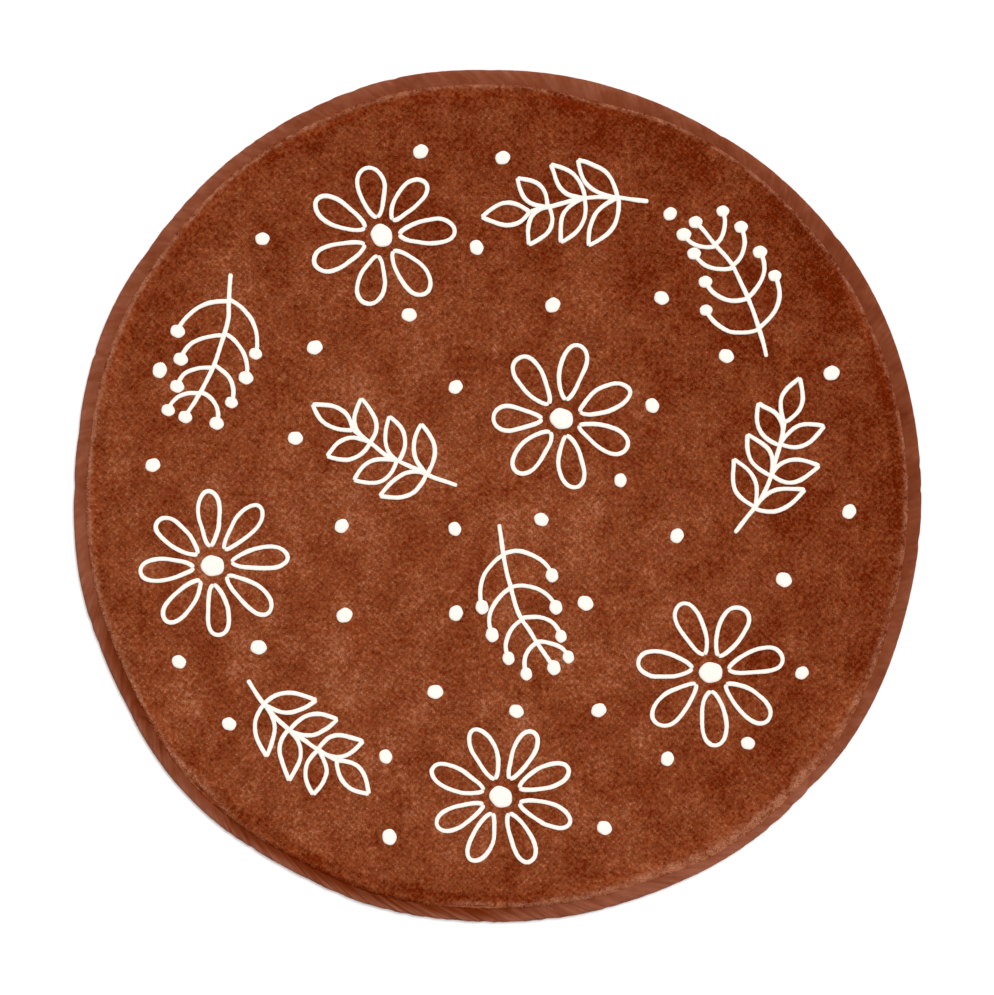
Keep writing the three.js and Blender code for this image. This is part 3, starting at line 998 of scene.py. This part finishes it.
def satin_spot(middle, radius, direction, rng):
    """A filled spot of satin stitches with needle holes: points, faces and stitch colours."""
    rings, steps = 9, 36
    share = np.linspace(1, 0.06, rings)[:, None]
    turn = np.arange(steps)[None, :] * 2 * math.pi / steps
    wobble = 1 + 0.07 * np.sin(turn * 2 + direction * 3) + 0.025 * np.sin(turn * 5 + direction)
    x = share * radius * wobble * np.cos(turn)
    y = share * radius * wobble * np.sin(turn)
    loft = STITCH_TOP + ground_swell(middle[0], middle[1])
    dome = loft - 0.9 * MM * share ** 6
    cosine, sine = math.cos(direction), math.sin(direction)
    along, over = x * cosine + y * sine, -x * sine + y * cosine
    split = np.abs(np.mod(along, NEEDLE_STEP) - NEEDLE_STEP / 2)
    knots = np.abs(np.mod(over + 1.1 * MM, 2.2 * MM) - 1.1 * MM)
    hole = np.exp(-((split / (0.6 * MM)) ** 2) - (knots / (0.7 * MM)) ** 2) * (radius > NEEDLE_STEP)
    height = dome - 0.4 * MM * hole
    top = stacked(x + middle[0], y + middle[1], height)
    foot = top[:1].copy()
    foot[:, :, 2] = STITCH_FOOT
    points = np.concatenate([foot, top])
    quads = loop_faces(rings + 1, steps)[: rings * steps, ::-1]
    cap = (np.arange(steps) + rings * steps)[None, :]
    under = np.arange(steps)[::-1][None, :]
    colour = np.ones((rings + 1, steps, 4))
    colour[1:, :, 0] = over / MM + rng.uniform(0, 1)
    colour[0, :, 0] = over[0] / MM
    # Painted shade: darker in the needle holes and at the spot's foot.
    colour[1:, :, 2] = 0.7 - 0.5 * hole
    colour[0, :, 2] = 0.3
    return points.reshape(-1, 3), quads, np.concatenate([cap, under]), colour.reshape(-1, 4)


def joined(name, parts, material, stored):
    """One piece of many small shapes, each given by its points, quads, other faces and colours."""
    starts = np.cumsum([0] + [len(p[0]) for p in parts[:-1]])
    points = np.concatenate([p[0] for p in parts])
    quads = np.concatenate([p[1] + s for p, s in zip(parts, starts)])
    caps = {}
    for part, start in zip(parts, starts):
        caps.setdefault(part[2].shape[1], []).append(part[2] + start)
    piece = add_mesh(name, points, [quads] + [np.concatenate(c) for c in caps.values()], [material])
    store_colour(piece, stored, np.concatenate([p[3] for p in parts]))
    return piece


def make_embroidery(lines, spots, material):
    rng = np.random.default_rng(SEED + 9)
    stitched = joined("satin_lines", [satin_line(path, rng) for path in lines], material, "stitch")
    filled = joined("satin_spots", [satin_spot(*spot, rng) for spot in spots], material, "stitch")
    return [stitched, filled]


def tuft_grid(rng):
    """Places of the tufts over the whole mat, in the slanting rows of its weave, and each one's place in its
    bunch: 1 in the bunch's middle, 0 between bunches."""
    count = int(2 * MEAN_RADIUS / TUFT_SPACING) + 2
    row, step = np.mgrid[0:count, 0:count] - count / 2
    jitter = rng.uniform(-0.38, 0.38, (2, count, count))
    places = stacked((step + jitter[0]).ravel(), (row + jitter[1]).ravel()) * TUFT_SPACING
    warp = soft_shift(*places.T, 60 * MM, SEED + 16)
    phase = 2 * math.pi * (places + warp * 0.5 * MM) / BUNCH_PITCH
    bunch = 0.5 + 0.25 * (np.cos(phase[:, 0]) + np.cos(phase[:, 1]))
    places = turned(places + warp * MM, math.radians(WEAVE_TURN), np.zeros(2))
    return places[:, 0], places[:, 1], bunch


def nap(x, y, rng):
    """The way the pile leans, along X and Y: mostly towards -Y, in soft swirls, each tuft its own."""
    swirl = 60 * soft_noise(x, y, 0.085, SEED + 10) + 60 * soft_noise(x, y, 0.022, SEED + 11)
    clumps = 80 * soft_noise(x, y, CLUMP_SIZE, SEED + 14)
    direction = np.radians(-95 + swirl + clumps + rng.normal(0, 32, len(x)))
    amount = TUFT_LEAN * (1 + rng.uniform(-0.6, 0.6, len(x)))
    return stacked(amount * np.cos(direction), amount * np.sin(direction))


def round_lean(angle, outward, sideways):
    """A lean outwards from the rug's middle and sideways, along X and Y."""
    cosine, sine = np.cos(np.radians(angle)), np.sin(np.radians(angle))
    return stacked(outward * cosine - sideways * sine, outward * sine + sideways * cosine)


def unshaded(angle):
    """How freely the pile's edge spreads over the seam: less where the seam lies in shade."""
    return 1 - 0.9 * np.clip(around(SEAM_LOOK, "shade", angle), 0, 1)


def tuft_tips(x, y, lean, height):
    return stacked(x + lean[:, 0], y + lean[:, 1], np.minimum(height, PILE_TOP))


def grow_tufts(lines, spots):
    """Feet, tips, widths and colours of all the tufts outside the embroidery."""
    rng = np.random.default_rng(SEED + 12)
    strokes = np.concatenate(lines + [middle[None] for middle, _, _ in spots])
    half_widths = [np.full(len(line), LINE_HALF_WIDTH) for line in lines]
    half_widths += [np.array([radius]) for _, radius, _ in spots]
    field = clearance_field(strokes, np.concatenate(half_widths), 5 * MM)
    x, y, bunch = tuft_grid(rng)
    angle = np.degrees(np.arctan2(y, x))
    inward = seam_radius(angle) + 0.5 * MM - np.hypot(x, y)
    keep = (inward > 0.8 * MM) & (read_field(field, x, y) > 0.15 * MM)
    x, y, bunch, angle, inward = [values[keep] for values in (x, y, bunch, angle, inward)]
    level, beyond, pressed, pale, dark = pile_edge(angle, inward)
    fringe = around(SEAM_LOOK, "fringe", angle) * MM
    lean = nap(x, y, rng)
    outward = np.exp(-beyond / (1.2 * fringe)) * (0.8 * MM + 0.08 * fringe) * (1 - pressed) * unshaded(angle)
    sideways = rng.normal(0, 1.2, len(x)) * MM * np.exp(-((beyond / fringe) ** 2))
    lean += round_lean(angle, outward, sideways)
    over_thread = read_field(field, x + lean[:, 0], y + lean[:, 1]) < rng.uniform(-1, 0.2, len(x)) * MM
    lean[over_thread] *= 0.3
    inner = np.clip(beyond / (6 * MM), 0, 1)
    uneven = 0.25 * MM * soft_noise(x, y, CLUMP_SIZE, SEED + 15) + 0.45 * MM * (bunch - 0.5)
    height = level + ground_swell(x, y) + inner * uneven - np.abs(rng.normal(0, 0.09, len(x))) * MM
    foot = np.minimum(PILE_FOOT, level - PILE_DEPTH) - TUFT_ROOT
    feet = stacked(x, y, foot + ground_swell(x, y))
    tips = tuft_tips(x, y, lean, height)
    # Paleness: the pale fringe, partly a painted highlight. Tint: bunches painted lighter in their middles
    # and darker between them, painted light and shade, and the painted shade of the pile's edge.
    rim = pale * rng.uniform(0.7, 1, len(x))
    tint = 0.5 + 0.5 * (rng.normal(0, 0.04, len(x)) + 0.6 * (0.3 + 0.7 * inner) * (bunch - 0.5) - dark)
    width = TUFT_WIDTH * (1 + rng.uniform(-0.2, 0.25, len(x)))
    return [np.concatenate(pair) for pair in zip((feet, tips, width, tint, rim), rim_tufts(rng))]


def rim_tufts(rng):
    """Small tufts that fill the pile's edge, spread outwards and sideways over the seam."""
    angle = rng.uniform(0, 360, RIM_TUFTS)
    inward = (5.5 * rng.uniform(0, 1, RIM_TUFTS) ** 1.6 - 0.2) * MM
    level, beyond, pressed, pale, dark = pile_edge(angle, inward)
    spread = rng.normal(0.72, 0.42, RIM_TUFTS) * MM
    outward = spread * unshaded(angle) * (1 - pressed) * np.exp(-beyond / (4 * MM))
    sideways = rng.normal(0, 1, RIM_TUFTS) * MM
    height = level + np.abs(rng.normal(0, 0.15, RIM_TUFTS)) * MM
    feet = polar(angle, seam_radius(angle) - inward, level - PILE_DEPTH - TUFT_ROOT)
    tips = tuft_tips(feet[:, 0], feet[:, 1], round_lean(angle, outward, sideways), height)
    # The painted shade of the pile's edge in the tint, and the pale fringe, partly a painted highlight.
    tint = 0.5 + 0.5 * (rng.normal(0, 0.04, RIM_TUFTS) - dark)
    width = RIM_TUFT_WIDTH * rng.uniform(0.7, 1.2, RIM_TUFTS)
    return feet, tips, width, tint, pale * rng.uniform(0.85, 1, RIM_TUFTS)


def make_loose_threads(material):
    """Fine threads along the seam: the long ones of the table, and many short fibres at the pile's edge."""
    rng = np.random.default_rng(SEED + 18)
    rows = [(*thread, THREAD_HALF_WIDTH) for thread in LOOSE_THREADS]
    for start in np.sort(rng.uniform(0, 360, SHORT_FIBRES)):
        fringe = float(around(SEAM_LOOK, "fringe", start))
        inner = rng.uniform(0.2, 0.6 + fringe * 0.8)
        pale = float(np.clip(around(SEAM_LOOK, "pale", start), 0.15, 0.8)) * rng.uniform(0.2, 0.5)
        end = start + rng.uniform(0.5, 1.3)
        rows.append((start, end, inner, inner + rng.normal(0, 1), pale, FIBRE_HALF_WIDTH))
    parts = []
    for start, end, inner, outer, pale, half_width in rows:
        share = np.linspace(0, 1, max(int((end - start) * 2.5), 5))
        angle = start + (end - start) * share
        depth = inner + (outer - inner) * share + 0.5 * np.sin(share * math.pi * rng.uniform(1, 3))
        level = pile_edge(angle, np.maximum(depth, 0) * MM)[0]
        height = level + (0.2 + rng.uniform(-0.2, 0.2)) * MM
        spine = polar(angle, seam_radius(angle) - depth * MM, height)
        taper = np.sin(math.pi * np.clip(share, 0.03, 0.97)) ** 0.4 * half_width * MM
        slopes = [corner * 2 * math.pi / 3 + 0.5 for corner in range(3)]
        ring = [spine + polar(angle, math.cos(s), math.sin(s)) * taper[:, None] for s in slopes]
        points = np.stack(ring, 1)
        quads = loop_faces(len(share), 3)[: (len(share) - 1) * 3]
        caps = np.array([[0, 1, 2], [2, 1, 0]]) + np.array([[0], [(len(share) - 1) * 3]])
        colour = np.ones((len(points) * 3, 4))
        # Painted shade where the pile's edge is painted darker; the short fibres' paleness follows the
        # fringe, partly a painted highlight.
        colour[:, 0] = rng.uniform(0.3, 0.6) + 0.3 * min(float(around(SEAM_LOOK, "pale", start)), 0)
        colour[:, 1] = pale
        parts.append((points.reshape(-1, 3), quads, caps, colour))
    return joined("seam_fibres", parts, material, "pile")


def make_tufts(name, feet, tips, width, tint, rim, material):
    """A mesh of slim three-sided tufts, leaning from their feet to their tips."""
    count = len(feet)
    spin = np.random.default_rng(SEED + 13).uniform(0, 2 * math.pi, count)
    points = np.empty((count, 4, 3))
    for corner in range(3):
        turn = spin + corner * 2 * math.pi / 3
        points[:, corner] = feet
        points[:, corner, 0] += width * np.cos(turn)
        points[:, corner, 1] += width * np.sin(turn)
    points[:, 3] = tips
    base = np.arange(count)[:, None, None] * 4
    sides = np.array([[0, 1, 3], [1, 2, 3], [2, 0, 3], [0, 2, 1]])[None]
    piece = add_mesh(name, points, [(base + sides).reshape(-1, 3)], [material])
    store_colour(piece, "pile", stacked(tint[:, None], rim[:, None], [0, 0, 0, 1], 1))
    flat_map(piece)
    return piece


def flat_map(piece):
    """A map of the piece seen from above, for its finish."""
    mesh = piece.data
    places = np.empty(len(mesh.vertices) * 3, np.float32)
    mesh.vertices.foreach_get("co", places)
    places = places.reshape(-1, 3)[:, :2]
    places = (places - places.min(0)) / (places.max(0) - places.min(0)).max()
    corners = np.empty(len(mesh.loops), np.int32)
    mesh.loops.foreach_get("vertex_index", corners)
    layer = mesh.uv_layers.new(name="OFBake")
    layer.data.foreach_set("uv", places[corners].ravel())


def make_pile(lines, spots, material):
    feet, tips, width, tint, rim = grow_tufts(lines, spots)
    right = feet[:, 0] >= 0
    back = feet[:, 1] >= 0
    pieces = []
    for name, chosen in (
        ("pile_right_back", right & back),
        ("pile_left_back", ~right & back),
        ("pile_left_front", ~right & ~back),
        ("pile_right_front", right & ~back),
    ):
        parts = [values[chosen] for values in (feet, tips, width, tint, rim)]
        pieces.append(make_tufts(name, *parts, material))
    return pieces


def make_camera():
    data = bpy.data.cameras.new("view")
    camera = add_object("view", data)
    metres_per_pixel = MEAN_RADIUS / RUG_RADIUS_PIXELS
    middle_x = (FRAME_PIXELS[0] - 1) / 2
    middle_y = (FRAME_PIXELS[1] - 1) / 2
    camera.location = (
        (middle_x - RUG_MIDDLE_PIXEL[0]) * metres_per_pixel,
        (RUG_MIDDLE_PIXEL[1] - middle_y) * metres_per_pixel,
        CAMERA_HEIGHT,
    )
    data.sensor_width = SENSOR_MM
    data.lens = SENSOR_MM * (CAMERA_HEIGHT - EDGE_HEIGHT) / (max(FRAME_PIXELS) * metres_per_pixel)
    data.clip_end = 20
    bpy.context.scene.camera = camera


def make_studio():
    """A pale floor, a soft key light from the back right and a pale sky."""
    corners = [(x * FLOOR_HALF, y * FLOOR_HALF, -FLOOR_DROP) for x, y in ((-1, -1), (1, -1), (1, 1), (-1, 1))]
    floor = add_mesh("floor", corners, [np.array([[0, 1, 2, 3]])], [make_floor_material()])
    data = bpy.data.lights.new("key", "SUN")
    data.energy = KEY_STRENGTH * STUDIO_LIGHT
    data.angle = math.radians(KEY_SPREAD)
    add_object("key", data).rotation_euler = Vector(KEY_DIRECTION).to_track_quat("Z", "Y").to_euler()
    world = bpy.data.worlds.new("sky")
    world.use_nodes = True
    sky = world.node_tree.nodes["Background"].inputs
    sky["Color"].default_value = (1, 1, 1, 1)
    sky["Strength"].default_value = SKY_STRENGTH * STUDIO_LIGHT
    bpy.context.scene.world = world
    bpy.context.scene.view_settings.view_transform = "Standard"
    return floor


def dress(piece, slot_name, *nodes):
    """Puts a piece on the rug's body and hides the solids that it stands for; slot_name is not used."""
    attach(piece, "root")
    if nodes:
        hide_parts(*nodes)
    return piece


make_camera()
floor = make_studio()
lines, spots = draw_embroidery()

pile_material = make_pile_material("velour_pile", PILE_PALE, False)
ground_material = make_pile_material("velour_ground", GROUND_PALE, True)
thread_material = make_thread_material()
base = dress(make_base(ground_material, make_backing_material()), "velour_pile", "velour_mat")
binding = dress(make_binding(make_binding_material()), "cotton_binding", "edge_binding")
embroidery = [dress(piece, "white_thread") for piece in make_embroidery(lines, spots, thread_material)]
pile = [dress(piece, "velour_pile") for piece in make_pile(lines, spots, pile_material)]
fibres = dress(make_loose_threads(pile_material), "velour_pile")
